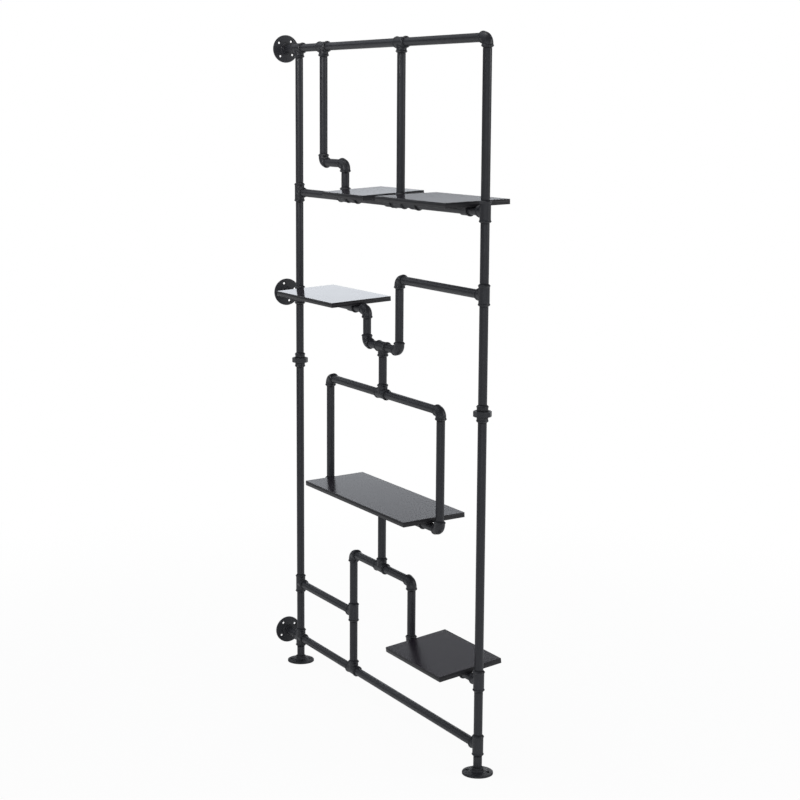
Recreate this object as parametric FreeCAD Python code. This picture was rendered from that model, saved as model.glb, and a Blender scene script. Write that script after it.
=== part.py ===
"""Pipe shelving unit: a wall-braced frame of threaded steel pipe that carries five boards.

The frame is flat and stands in the plane Y = 0. X runs from the wall outwards, Z is up.
The origin is the centre of the footprint, on the floor.
Every pipe screws into the sockets of its fittings and seats on the stop inside them.
"""
import FreeCAD, Part
import math
import os

from FreeCAD import Rotation, Vector

# ---------------------------------------------------------------- pipe and fittings
pipe_od = 26.9            # three-quarter inch steel pipe
pipe_wall = 2.6
thread_gap = 0.15         # radial gap between a pipe and its socket
socket_depth = 12.0       # mouth face to the stop that the pipe seats on
fitting_wall = 3.1        # barrel of a fitting, outside its socket
mouth_wall = 1.7          # what is left of that wall on the mouth face
rim_height = 1.95         # rolled rim, how far it stands off the barrel
rim_length = 8.5          # mouth face back to the foot of the rim
rim_crest = 2.4           # width of the rounded crest
rim_rounding = 0.6        # height of the rounded crest
tee_neck = 6.8            # run's barrel to the foot of a branch's rim
branch_relief = 0.5       # a branch barrel is this much slimmer, per side, than its run
crotch_fillet = 3.5       # cast fillet between run and branch
elbow_throat = 1.8        # inside radius of an elbow's bend
elbow_neck = 1.0          # straight barrel between an elbow's bend and its rim

# ---------------------------------------------------------------- union
union_length = 51.0
union_neck_wall = 3.6     # outside the socket
union_shoulder_width = 3.3
union_shoulder_height = 4.0
union_spigot_step = 0.5   # the threaded half is this much larger, per side, than the shoulder
union_seat_depth = 3.5    # depth of the ground cone between the halves
union_seat_wall = 3.2     # pipe bore to the tip of that cone
union_nut_wall = 4.6
union_nut_height = 17.0
union_nut_lip = 4.5       # thickness of the lip that pulls on the shoulder
union_nut_sides = 8
union_gap = 0.2           # nut to neck and nut to spigot, per side
union_nut_chamfer = 2.0

# ---------------------------------------------------------------- flanges
flange_od = 95.0
flange_edge = 6.0         # plate thickness at the edge
flange_rise = 2.0         # how much thicker the plate is at the hub
flange_hub_wall = 4.4
flange_height = 20.0
flange_root_radius = 6.0  # fillet between plate and hub
flange_edge_radius = 2.0
flange_pcd = 65.0
flange_hole_d = 8.0
flange_hole_count = 4
countersink_d = 13.0

# ---------------------------------------------------------------- frame, between centre lines
wall_offset = 113.0       # wall face to the left post
post_span = 1254.0        # left post to right post
riser_upper_x = 192.0     # from the left post
riser_lower_x = 356.0
drop_x = 741.0
dip_half_width = 111.0    # each side of the frame's middle line
loop_half_width = 381.5
lower_half_width = 204.0
bottom_bar_z = 89.0
low_shelf_z = 292.0
lower_bar_z = 498.0
loop_bottom_z = 705.0
loop_top_z = 1079.0
union_z = 1110.0
dip_z = 1233.0
middle_shelf_z = 1342.0
bridge_z = 1460.0
top_shelf_z = 1702.0
jog_z = 1812.0
top_bar_z = 2197.0

# ---------------------------------------------------------------- boards
board_depth = 220.0
board_thickness = 16.0
board_edge_radius = 1.2

# Gap between each board's two ends and the fittings beside them.
top_left_start_gap = 19.0
top_left_end_gap = 10.0
top_right_start_gap = 4.0
top_right_end_gap = 7.0
middle_start_gap = 16.0
middle_end_gap = 9.0
loop_end_gap = 4.0
low_start_gap = 8.0
low_end_gap = 11.0

# Turn of each board about its bar, in degrees, front edge down.
top_left_pitch = 3.7
top_right_pitch = 2.2
middle_pitch = 3.6
loop_pitch = 2.7
low_pitch = 7.7

# ---------------------------------------------------------------- saddles under the boards
saddle_length = 44.0
saddle_wall = 3.1
saddle_gap = 0.15         # radial gap between saddle and pipe
saddle_bead_height = 1.9
saddle_bead_width = 6.0
ear_thickness = 4.0
ear_width = 22.0
ear_reach = 10.3          # shell to screw
short_saddle_inset = 23.0  # board end to the middle of its saddle
saddle_inset = 64.0
wide_saddle_inset = 90.0

# ---------------------------------------------------------------- wood screws
screw_d = 4.2
screw_hole_d = 4.8
screw_pilot_gap = 0.05    # radial gap between screw and board
screw_cover = 4.0         # board left above a screw's tip
screw_tip = 4.0
screw_head_d = 8.6
screw_head_height = 2.8
screw_head_bevel = 1.2

# ---------------------------------------------------------------- worked-out values
pipe_r = pipe_od / 2
bore_r = pipe_r - pipe_wall
socket_r = pipe_r + thread_gap
body_r = socket_r + fitting_wall
rim_r = body_r + rim_height
rim_shoulder_r = rim_r - rim_rounding
mouth_r = socket_r + mouth_wall
tee_reach = body_r + tee_neck + rim_length      # centre to mouth
elbow_bend = body_r + elbow_throat              # centre-line radius
elbow_reach = elbow_bend + elbow_neck + rim_length
saddle_inner_r = pipe_r + saddle_gap
saddle_outer_r = saddle_inner_r + saddle_wall
screw_offset = saddle_outer_r + ear_reach
tee_lift = rim_r - pipe_r  # a board that crosses a tee lies on its rims, this far off the pipe
overall_length = wall_offset + post_span + flange_od / 2
left_x = wall_offset - overall_length / 2
right_x = left_x + post_span
wall_x = left_x - wall_offset
middle_x = left_x + post_span / 2

right, up, left, down = Vector(1, 0, 0), Vector(0, 0, 1), Vector(-1, 0, 0), Vector(0, 0, -1)
turns = {"right": 0, "down": 90, "left": 180, "up": 270}

# Every fitting: kind, X, Z and the way it points. A tee points along its branch.
# An elbow's second mouth is a quarter turn anticlockwise from its first, seen from the front.
fittings = {
    "left_top_tee": ("tee", left_x, top_bar_z, "down"),
    "left_shelf_tee": ("tee", left_x, top_shelf_z, "right"),
    "left_middle_cross": ("cross", left_x, middle_shelf_z, "right"),
    "left_low_tee": ("tee", left_x, low_shelf_z, "right"),
    "left_bottom_cross": ("cross", left_x, bottom_bar_z, "right"),
    "right_top_elbow": ("elbow", right_x, top_bar_z, "left"),
    "right_shelf_tee": ("tee", right_x, top_shelf_z, "left"),
    "right_bridge_tee": ("tee", right_x, bridge_z, "left"),
    "right_low_tee": ("tee", right_x, low_shelf_z, "left"),
    "right_bottom_tee": ("tee", right_x, bottom_bar_z, "left"),
    "top_riser_tee": ("tee", left_x + riser_upper_x, top_bar_z, "down"),
    "top_drop_tee": ("tee", left_x + drop_x, top_bar_z, "down"),
    "jog_upper_elbow": ("elbow", left_x + riser_upper_x, jog_z, "right"),
    "jog_lower_elbow": ("elbow", left_x + riser_lower_x, jog_z, "left"),
    "shelf_riser_tee": ("tee", left_x + riser_lower_x, top_shelf_z, "up"),
    "shelf_drop_tee": ("tee", left_x + drop_x, top_shelf_z, "up"),
    "middle_shelf_elbow": ("elbow", middle_x - dip_half_width, middle_shelf_z, "left"),
    "dip_left_elbow": ("elbow", middle_x - dip_half_width, dip_z, "right"),
    "dip_tee": ("tee", middle_x, dip_z, "down"),
    "dip_right_elbow": ("elbow", middle_x + dip_half_width, dip_z, "up"),
    "bridge_elbow": ("elbow", middle_x + dip_half_width, bridge_z, "down"),
    "loop_top_tee": ("tee", middle_x, loop_top_z, "up"),
    "loop_top_left_elbow": ("elbow", middle_x - loop_half_width, loop_top_z, "down"),
    "loop_top_right_elbow": ("elbow", middle_x + loop_half_width, loop_top_z, "left"),
    "loop_bottom_left_elbow": ("elbow", middle_x - loop_half_width, loop_bottom_z, "right"),
    "loop_bottom_right_elbow": ("elbow", middle_x + loop_half_width, loop_bottom_z, "up"),
    "loop_bottom_tee": ("tee", middle_x, loop_bottom_z, "down"),
    "lower_tee": ("tee", middle_x, lower_bar_z, "up"),
    "lower_left_elbow": ("elbow", middle_x - lower_half_width, lower_bar_z, "down"),
    "lower_right_elbow": ("elbow", middle_x + lower_half_width, lower_bar_z, "left"),
    "brace_tee": ("tee", middle_x - lower_half_width, low_shelf_z, "left"),
    "bottom_tee": ("tee", middle_x - lower_half_width, bottom_bar_z, "up"),
    "low_shelf_elbow": ("elbow", middle_x + lower_half_width, low_shelf_z, "right"),
    "left_union": ("union", left_x, union_z, "up"),
    "right_union": ("union", right_x, union_z, "up"),
    "left_floor_flange": ("flange", left_x, 0, "up"),
    "right_floor_flange": ("flange", right_x, 0, "up"),
    "wall_flange_top": ("flange", wall_x, top_bar_z, "right"),
    "wall_flange_middle": ("flange", wall_x, middle_shelf_z, "right"),
    "wall_flange_bottom": ("flange", wall_x, bottom_bar_z, "right"),
}
reaches = {
    "tee": tee_reach,
    "cross": tee_reach,
    "elbow": elbow_reach,
    "union": union_length / 2,
    "flange": flange_height,
}

# Where each flange's holes came to rest when it was screwed home: the angle of one of them.
flange_hole_angles = {
    "left_floor_flange": 70,
    "right_floor_flange": 45,
    "wall_flange_top": 51,
    "wall_flange_middle": 18,
    "wall_flange_bottom": 36,
}

# Every run of pipe: the fittings that it passes, in order. One length lies between each two.
runs = {
    "left_post_pipes": [["left_top_tee", "left_shelf_tee", "left_middle_cross", "left_union",
                         "left_low_tee", "left_bottom_cross", "left_floor_flange"]],
    "right_post_pipes": [["right_top_elbow", "right_shelf_tee", "right_bridge_tee", "right_union",
                          "right_low_tee", "right_bottom_tee", "right_floor_flange"]],
    "wall_nipples": [["wall_flange_top", "left_top_tee"],
                     ["wall_flange_middle", "left_middle_cross"],
                     ["wall_flange_bottom", "left_bottom_cross"]],
    "top_bar_pipes": [["left_top_tee", "top_riser_tee", "top_drop_tee", "right_top_elbow"]],
    "riser_pipes": [["top_riser_tee", "jog_upper_elbow", "jog_lower_elbow", "shelf_riser_tee"],
                    ["top_drop_tee", "shelf_drop_tee"]],
    "top_shelf_pipes": [["left_shelf_tee", "shelf_riser_tee", "shelf_drop_tee",
                         "right_shelf_tee"]],
    "dip_pipes": [["left_middle_cross", "middle_shelf_elbow", "dip_left_elbow", "dip_tee",
                   "dip_right_elbow", "bridge_elbow", "right_bridge_tee"],
                  ["dip_tee", "loop_top_tee"]],
    "loop_pipes": [["loop_bottom_tee", "loop_bottom_left_elbow", "loop_top_left_elbow",
                    "loop_top_tee", "loop_top_right_elbow", "loop_bottom_right_elbow",
                    "loop_bottom_tee"],
                   ["loop_bottom_tee", "lower_tee"]],
    "lower_pipes": [["left_low_tee", "brace_tee"],
                    ["bottom_tee", "brace_tee", "lower_left_elbow", "lower_tee",
                     "lower_right_elbow", "low_shelf_elbow", "right_low_tee"],
                    ["left_bottom_cross", "bottom_tee", "right_bottom_tee"]],
}

# Every board: the fittings at its two ends, the gap to each, its lift off the pipe, its turn
# about the pipe and the inset of its two saddles.
boards = {
    "top_left_board": ("shelf_riser_tee", top_left_start_gap, "shelf_drop_tee", top_left_end_gap,
                       0, top_left_pitch, short_saddle_inset),
    "top_right_board": ("shelf_drop_tee", top_right_start_gap, "right_shelf_tee",
                        top_right_end_gap, 0, top_right_pitch, saddle_inset),
    "middle_board": ("left_middle_cross", middle_start_gap, "middle_shelf_elbow", middle_end_gap,
                     0, middle_pitch, saddle_inset),
    "loop_board": ("loop_bottom_left_elbow", loop_end_gap, "loop_bottom_right_elbow",
                   loop_end_gap, tee_lift, loop_pitch, wide_saddle_inset),
    "low_board": ("low_shelf_elbow", low_start_gap, "right_low_tee", low_end_gap,
                  0, low_pitch, saddle_inset),
}


# ---------------------------------------------------------------- helpers
def revolve_profile(points, bulges=None):
    """Solid of revolution about Z. Points are (radius, z). A bulge turns the straight edge that
    starts at its index into a curve that is drawn towards the given (radius, z)."""
    bulges = bulges or {}
    edges = []
    for index, (radius, z) in enumerate(points):
        next_radius, next_z = points[(index + 1) % len(points)]
        start = Vector(0, -radius, z)
        end = Vector(0, -next_radius, next_z)
        if index in bulges:
            bulge_radius, bulge_z = bulges[index]
            curve = Part.BezierCurve()
            curve.setPoles([start, Vector(0, -bulge_radius, bulge_z), end])
            edges.append(curve.toShape())
        else:
            edges.append(Part.LineSegment(start, end).toShape())
    face = Part.Face(Part.Wire(edges))
    return face.revolve(Vector(0, 0, 0), Vector(0, 0, 1), 360)


def tube(radius, start, end, direction):
    """Plain round bar along a direction, from one distance to the other."""
    return Part.makeCylinder(radius, end - start, direction * start, direction)


def rotated(shape, turn):
    """A copy turned in the frame's plane, from pointing right to pointing the given way."""
    copy = shape.copy()
    copy.rotate(Vector(0, 0, 0), Vector(0, 1, 0), turns[turn])
    return copy


def placed(shape, x, z):
    copy = shape.copy()
    copy.translate(Vector(x, 0, z))
    return copy


def aimed(shape, direction):
    """A copy of a shape made along Z, turned to lie along a direction."""
    copy = shape.copy()
    turn = Rotation(up, direction)
    copy.rotate(Vector(0, 0, 0), turn.Axis, math.degrees(turn.Angle))
    return copy


# ---------------------------------------------------------------- fittings
def rim_points(reach):
    """The rolled rim behind a mouth, from its foot to the mouth face, with its crest's bulge."""
    crest_middle = reach - rim_length / 2
    points = [
        (rim_shoulder_r, crest_middle - rim_crest / 2),
        (rim_shoulder_r, crest_middle + rim_crest / 2),
        (mouth_r, reach),
    ]
    return points, (2 * rim_r - rim_shoulder_r, crest_middle)


def barrel(reach, radius, foot):
    """One arm of a fitting along Z: barrel, rolled rim and mouth face."""
    rim, bulge = rim_points(reach)
    points = [(0, foot), (radius, foot), (radius, reach - rim_length)] + rim + [(0, reach)]
    return revolve_profile(points, {3: bulge})


def socket(reach, direction):
    """Threaded socket of one arm, as the space that it takes out."""
    return tube(socket_r, reach - socket_depth, reach, direction)


def crotch_edges(shape):
    """Curved edges where a branch barrel leaves the run, clear of every rim."""
    clear = tee_reach - rim_length - crotch_fillet / 2
    found = []
    for edge in shape.Edges:
        box = edge.BoundBox
        extent = max(abs(box.XMin), abs(box.XMax), abs(box.ZMin), abs(box.ZMax))
        if extent < clear and edge.Length > body_r:
            found.append(edge)
    return found


def branched(directions):
    """Tee or cross: a vertical run with branches, cast fillets, sockets and a waterway."""
    outer = barrel(tee_reach, body_r, 0)
    outer = outer.fuse(aimed(outer, down))
    for direction in directions:
        outer = outer.fuse(aimed(barrel(tee_reach, body_r - branch_relief, 0), direction))
    outer = outer.removeSplitter()
    outer = outer.makeFillet(crotch_fillet, crotch_edges(outer))
    stop = tee_reach - socket_depth
    inner = tube(bore_r, -stop, stop, up)
    for direction in directions:
        inner = inner.fuse(tube(bore_r, 0, stop, direction))
    for direction in [up, down] + directions:
        inner = inner.fuse(socket(tee_reach, direction))
    return outer.cut(inner)


def quarter_bend(bend, radius):
    """Quarter of a torus whose ends look right and up, each at the bend radius from centre."""
    disc = Part.Face(Part.Wire(Part.makeCircle(radius, Vector(bend, 0, 0), right)))
    return disc.revolve(Vector(bend, 0, bend), Vector(0, 1, 0), 90)


def elbow():
    """Elbow with mouths right and up."""
    outer = quarter_bend(elbow_bend, body_r)
    inner = quarter_bend(elbow_reach - socket_depth, bore_r)
    for direction in (right, up):
        outer = outer.fuse(aimed(barrel(elbow_reach, body_r, elbow_bend), direction))
        inner = inner.fuse(socket(elbow_reach, direction))
    return outer.removeSplitter().cut(inner)


def flange(hole_angle):
    """Round flange that faces left, with its hub and socket to the right and one of its holes
    at an angle about its axis."""
    plate_r = flange_od / 2
    hub_r = socket_r + flange_hub_wall
    root = flange_edge + flange_rise
    root_r = hub_r + flange_root_radius
    points = [
        (0, 0),
        (plate_r, 0),
        (plate_r, flange_edge - flange_edge_radius),
        (plate_r - flange_edge_radius, flange_edge),
        (root_r, root),
        (hub_r, root + flange_root_radius),
        (hub_r, flange_height - flange_edge_radius),
        (hub_r - flange_edge_radius, flange_height),
        (0, flange_height),
    ]
    bulges = {2: (plate_r, flange_edge), 4: (hub_r, root), 6: (hub_r, flange_height)}
    solid = revolve_profile(points, bulges)
    solid = solid.cut(tube(bore_r, 0, flange_height, up))
    solid = solid.cut(tube(socket_r, flange_height - socket_depth, flange_height, up))
    for index in range(flange_hole_count):
        angle = math.radians(hole_angle + 360 * index / flange_hole_count)
        foot = Vector(math.cos(angle), math.sin(angle), 0) * (flange_pcd / 2)
        hole = Part.makeCylinder(flange_hole_d / 2, root, foot)
        sink_depth = (countersink_d - flange_hole_d) / 2
        sink_foot = foot + Vector(0, 0, flange_edge - sink_depth)
        sink = Part.makeCone(flange_hole_d / 2, countersink_d / 2, sink_depth, sink_foot)
        mouth = Part.makeCylinder(countersink_d / 2, flange_rise, foot + Vector(0, 0, flange_edge))
        solid = solid.cut(hole.fuse(sink).fuse(mouth))
    return aimed(solid, right)


# ---------------------------------------------------------------- union: two halves and a nut
def union_half(collar_r, collar_height, cone_tip_z):
    """Half of a union along Z: ground cone, collar on the joint plane, neck and mouth. The cone
    stands out of the half where its tip is below the joint plane, and is sunk where above."""
    reach = union_length / 2
    neck_r = socket_r + union_neck_wall
    cone_tip_r = bore_r + union_seat_wall
    rim, bulge = rim_points(reach)
    points = [
        (bore_r, cone_tip_z),
        (cone_tip_r, cone_tip_z),
        (cone_tip_r + union_seat_depth, 0),
        (collar_r, 0),
        (collar_r, collar_height),
        (neck_r, collar_height),
        (neck_r, reach - rim_length),
    ] + rim + [
        (socket_r, reach),
        (socket_r, reach - socket_depth),
        (bore_r, reach - socket_depth),
    ]
    return revolve_profile(points, {7: bulge})


def union_nut(bottom, neck_r, spigot_r):
    """Nut whose lip lies on the shoulder and whose skirt goes down over the spigot."""
    flats_r = spigot_r + union_nut_wall
    corner_r = flats_r / math.cos(math.pi / union_nut_sides)
    top = bottom + union_nut_height
    corners = []
    for index in range(union_nut_sides + 1):
        angle = math.pi * (2 * index + 1) / union_nut_sides
        corners.append(Vector(corner_r * math.cos(angle), corner_r * math.sin(angle), bottom))
    nut = Part.Face(Part.makePolygon(corners)).extrude(Vector(0, 0, union_nut_height))
    chamfer_r = corner_r - union_nut_chamfer
    envelope = revolve_profile([
        (0, bottom),
        (chamfer_r, bottom),
        (corner_r, bottom + union_nut_chamfer / 2),
        (corner_r, top - union_nut_chamfer / 2),
        (chamfer_r, top),
        (0, top),
    ])
    nut = nut.common(envelope)
    nut = nut.cut(tube(spigot_r, bottom, top - union_nut_lip, up))
    return nut.cut(tube(neck_r, top - union_nut_lip, top, up))


def union_parts():
    """Lower half, upper half and nut, with the joint plane at the union's middle."""
    shoulder_r = socket_r + union_neck_wall + union_shoulder_width
    spigot_r = shoulder_r + union_spigot_step
    nut_bottom = union_shoulder_height + union_nut_lip - union_nut_height
    upper = union_half(shoulder_r, union_shoulder_height, -union_seat_depth)
    lower = union_half(spigot_r, union_gap - nut_bottom, union_seat_depth)
    neck_hole_r = socket_r + union_neck_wall + union_gap
    nut = union_nut(nut_bottom, neck_hole_r, spigot_r + union_gap)
    return {"lower": aimed(lower, down), "upper": upper, "nut": nut}


# ---------------------------------------------------------------- pipes
def seat(name):
    """Distance from a fitting's centre to the stop that a pipe seats on."""
    return reaches[fittings[name][0]] - socket_depth


def pipe_between(first, second):
    """Length of pipe that seats on the stops of two fittings."""
    _, first_x, first_z, _ = fittings[first]
    _, second_x, second_z, _ = fittings[second]
    start = Vector(first_x, 0, first_z)
    span = Vector(second_x, 0, second_z) - start
    length = span.Length - seat(first) - seat(second)
    direction = Vector(span).normalize()
    foot = start + direction * seat(first)
    outer = Part.makeCylinder(pipe_r, length, foot, direction)
    return outer.cut(Part.makeCylinder(bore_r, length, foot, direction))


def run_of_pipes(routes):
    lengths = []
    for route in routes:
        for first, second in zip(route, route[1:]):
            lengths.append(pipe_between(first, second))
    return Part.makeCompound(lengths)


# ---------------------------------------------------------------- saddles and screws
def saddle_section():
    """Lengthwise section of one side of the shell, with the bead at its right end."""
    half = saddle_length / 2
    bead_foot = half - saddle_bead_width
    bead = Part.BezierCurve()
    bead.setPoles([
        Vector(bead_foot, -saddle_outer_r, 0),
        Vector(half - saddle_bead_width / 2, -saddle_outer_r - 2 * saddle_bead_height, 0),
        Vector(half, -saddle_outer_r, 0),
    ])
    corners = [
        Vector(half, -saddle_outer_r, 0),
        Vector(half, -saddle_inner_r, 0),
        Vector(-half, -saddle_inner_r, 0),
        Vector(-half, -saddle_outer_r, 0),
        Vector(bead_foot, -saddle_outer_r, 0),
    ]
    edges = [bead.toShape()]
    for start, end in zip(corners, corners[1:]):
        edges.append(Part.LineSegment(start, end).toShape())
    return Part.Face(Part.Wire(edges))


def ear(side, top):
    """Round-ended ear that lies against the board, on one side of the shell."""
    radius = ear_width / 2
    base = top - ear_thickness
    root = side * (saddle_outer_r - saddle_wall / 2)
    tip = side * screw_offset
    edges = [
        Part.LineSegment(Vector(radius, tip, base), Vector(radius, root, base)).toShape(),
        Part.LineSegment(Vector(radius, root, base), Vector(-radius, root, base)).toShape(),
        Part.LineSegment(Vector(-radius, root, base), Vector(-radius, tip, base)).toShape(),
        Part.Arc(Vector(-radius, tip, base), Vector(0, tip + side * radius, base),
                 Vector(radius, tip, base)).toShape(),
    ]
    plate = Part.Face(Part.Wire(edges)).extrude(Vector(0, 0, ear_thickness))
    hole = Part.makeCylinder(screw_hole_d / 2, ear_thickness, Vector(0, tip, base))
    return plate.cut(hole)


def saddle(lift):
    """Cast saddle under one pipe: a shell that hugs it, a bead at one end and two ears."""
    top = pipe_r + lift
    section = saddle_section()
    solid = section.revolve(Vector(0, 0, 0), right, 180)
    for side in (-1, 1):
        wall = section.copy()
        if side > 0:
            wall.rotate(Vector(0, 0, 0), right, 180)
        solid = solid.fuse(wall.extrude(Vector(0, 0, top))).fuse(ear(side, top))
    return solid.removeSplitter()


def screw(lift):
    """Pan-head wood screw, head down, seated under an ear."""
    seat_z = pipe_r + lift - ear_thickness
    shank_r = screw_d / 2
    head_r = screw_head_d / 2
    crown_z = seat_z - screw_head_height
    tip_z = seat_z + ear_thickness + board_thickness - screw_cover
    return revolve_profile([
        (0, crown_z),
        (head_r - screw_head_bevel, crown_z),
        (head_r, crown_z + screw_head_bevel),
        (head_r, seat_z),
        (shank_r, seat_z),
        (shank_r, tip_z - screw_tip),
        (0, tip_z),
    ])


# ---------------------------------------------------------------- boards
def board_ends(name):
    """Where a board starts and ends along X."""
    first, first_gap, second, second_gap, _, _, _ = boards[name]
    start = fittings[first][1] + reaches[fittings[first][0]] + first_gap
    end = fittings[second][1] - reaches[fittings[second][0]] - second_gap
    return start, end


def saddle_places(name):
    start, end = board_ends(name)
    inset = boards[name][6]
    return [start + inset, end - inset]


def board(name):
    """Board over a bar on the X axis, before its turn, with a pilot hole for every screw."""
    start, end = board_ends(name)
    underside = pipe_r + boards[name][4]
    corner = Vector(start, -board_depth / 2, underside)
    solid = Part.makeBox(end - start, board_depth, board_thickness, corner)
    solid = solid.makeFillet(board_edge_radius, solid.Edges)
    pilot_r = screw_d / 2 + screw_pilot_gap
    for x in saddle_places(name):
        for side in (-1, 1):
            foot = Vector(x, side * screw_offset, underside)
            solid = solid.cut(Part.makeCylinder(pilot_r, board_thickness - screw_cover, foot))
    return solid


def on_bar(shape, name):
    """A copy of a board's piece, turned about the bar with the board and lifted to the bar."""
    copy = shape.copy()
    copy.rotate(Vector(0, 0, 0), right, boards[name][5])
    copy.translate(Vector(0, 0, fittings[boards[name][0]][2]))
    return copy


# ---------------------------------------------------------------- assembly
def make_fittings():
    shapes = {
        "tee": branched([right]),
        "cross": branched([right, left]),
        "elbow": elbow(),
    }
    halves = union_parts()
    nodes = {}
    for name, (kind, x, z, turn) in fittings.items():
        if kind == "union":
            for half, shape in halves.items():
                nodes[name + "_" + half] = placed(shape, x, z)
            continue
        if kind == "flange":
            shape = flange(flange_hole_angles[name])
        else:
            shape = shapes[kind]
        nodes[name] = placed(rotated(shape, turn), x, z)
    return nodes


def make_supports():
    saddles = []
    screws = []
    for name in boards:
        lift = boards[name][4]
        for x in saddle_places(name):
            saddles.append(on_bar(placed(saddle(lift), x, 0), name))
            for side in (-1, 1):
                fastener = screw(lift)
                fastener.translate(Vector(x, side * screw_offset, 0))
                screws.append(on_bar(fastener, name))
    return {"board_saddles": Part.makeCompound(saddles), "saddle_screws": Part.makeCompound(screws)}


def make_nodes():
    nodes = make_fittings()
    for name, routes in runs.items():
        nodes[name] = run_of_pipes(routes)
    for name in boards:
        nodes[name] = on_bar(board(name), name)
    nodes.update(make_supports())
    return nodes


os.makedirs("parts", exist_ok=True)
for node, shape in make_nodes().items():
    shape.exportStep("parts/" + node + ".step")
    print(node, len(shape.Solids), "solids", round(shape.Volume / 1000, 1), "cm3", shape.isValid())
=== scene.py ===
import math

import bmesh
import bpy
import numpy as np
from mathutils import Matrix, Vector


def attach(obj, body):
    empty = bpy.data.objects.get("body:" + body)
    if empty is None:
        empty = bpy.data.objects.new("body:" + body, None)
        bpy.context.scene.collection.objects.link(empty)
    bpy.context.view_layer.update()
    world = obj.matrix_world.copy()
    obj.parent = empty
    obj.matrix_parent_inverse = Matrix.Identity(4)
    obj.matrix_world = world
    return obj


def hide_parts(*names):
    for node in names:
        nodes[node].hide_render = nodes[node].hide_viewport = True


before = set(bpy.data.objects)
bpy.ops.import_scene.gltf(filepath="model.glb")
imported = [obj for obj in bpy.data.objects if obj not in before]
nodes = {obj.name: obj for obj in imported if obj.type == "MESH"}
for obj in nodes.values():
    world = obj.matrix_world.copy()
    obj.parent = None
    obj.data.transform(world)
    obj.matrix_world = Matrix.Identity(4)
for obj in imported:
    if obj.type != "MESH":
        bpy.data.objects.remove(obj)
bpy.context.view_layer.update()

millimetre = 0.001
print("frame loaded:", len(nodes), "nodes")


# Node trees: small helpers that every material and every Geometry Nodes tree below uses

def addNode(tree, kind, inputs=None, **settings):
    node = tree.nodes.new(kind)
    for name, value in settings.items():
        setattr(node, name, value)
    for key, value in (inputs or {}).items():
        if isinstance(value, bpy.types.NodeSocket):
            tree.links.new(value, node.inputs[key])
        else:
            node.inputs[key].default_value = value
    return node


def calculate(tree, operation, first, second=0.0, third=0.0, clamp=False):
    node = addNode(tree, "ShaderNodeMath", {0: first, 1: second, 2: third}, operation=operation)
    node.use_clamp = clamp
    return node.outputs[0]


def calculateVector(tree, operation, first, second=(0, 0, 0), output="Vector"):
    node = addNode(tree, "ShaderNodeVectorMath", {0: first, 1: second}, operation=operation)
    return node.outputs[output]


def remap(tree, value, low, high, toLow=0.0, toHigh=1.0, smooth=False):
    kind = "SMOOTHSTEP" if smooth else "LINEAR"
    node = addNode(tree, "ShaderNodeMapRange", {0: value, 1: low, 2: high, 3: toLow, 4: toHigh},
                   interpolation_type=kind)
    return node.outputs[0]


def scaleVector(tree, vector, factors):
    return calculateVector(tree, "MULTIPLY", vector, factors)


def mixColour(tree, factor, first, second):
    node = addNode(tree, "ShaderNodeMix", {0: factor, 6: first, 7: second}, data_type="RGBA")
    return node.outputs[2]


def noise(tree, vector, size, detail=2.0, roughness=0.5, distortion=0.0):
    node = addNode(tree, "ShaderNodeTexNoise", {"Vector": vector, "Scale": 1 / size, "Detail": detail,
                                                "Roughness": roughness, "Distortion": distortion})
    return node.outputs[0]


def namedValue(tree, label, kind="FLOAT"):
    node = addNode(tree, "GeometryNodeInputNamedAttribute", {"Name": label}, data_type=kind)
    return node.outputs[0]


def newGroup(name, treeKind, inputs, outputs):
    tree = bpy.data.node_groups.new(name, treeKind)
    for label, kind, value in inputs:
        socket = tree.interface.new_socket(label, in_out="INPUT", socket_type="NodeSocket" + kind)
        if value is not None:
            socket.default_value = value
    for label, kind in outputs:
        tree.interface.new_socket(label, in_out="OUTPUT", socket_type="NodeSocket" + kind)
    return tree, addNode(tree, "NodeGroupInput"), addNode(tree, "NodeGroupOutput")


def placeGroup(tree, group, inputs):
    return addNode(tree, "ShaderNodeGroup", inputs, node_tree=group)


def opaque(colour):
    return (*colour, 1.0)


# Shader groups

def makeCoatGrain():
    # powder coat: soft orange peel, fine grit and slow blotches
    tree, entry, leave = newGroup(
        "coatGrain", "ShaderNodeTree",
        [("Vector", "Vector", None), ("Peel Scale", "Float", 420.0), ("Grit Scale", "Float", 1900.0),
         ("Grit", "Float", 0.35), ("Blotch Scale", "Float", 9.0)],
        [("Height", "Float"), ("Blotch", "Float"), ("Speckle", "Float")])
    vector = entry.outputs["Vector"]
    peel = addNode(tree, "ShaderNodeTexNoise", {"Vector": vector, "Scale": entry.outputs["Peel Scale"],
                                                "Detail": 2.0, "Roughness": 0.45})
    grit = addNode(tree, "ShaderNodeTexNoise", {"Vector": vector, "Scale": entry.outputs["Grit Scale"],
                                                "Detail": 3.0, "Roughness": 0.6})
    blotch = addNode(tree, "ShaderNodeTexNoise", {"Vector": vector, "Scale": entry.outputs["Blotch Scale"],
                                                  "Detail": 4.0, "Roughness": 0.6})
    grain = calculate(tree, "MULTIPLY", grit.outputs[0], entry.outputs["Grit"])
    height = calculate(tree, "ADD", peel.outputs[0], grain)
    tree.links.new(height, leave.inputs["Height"])
    tree.links.new(blotch.outputs[0], leave.inputs["Blotch"])
    tree.links.new(remap(tree, grit.outputs[0], 0.62, 0.72), leave.inputs["Speckle"])
    return tree


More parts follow.
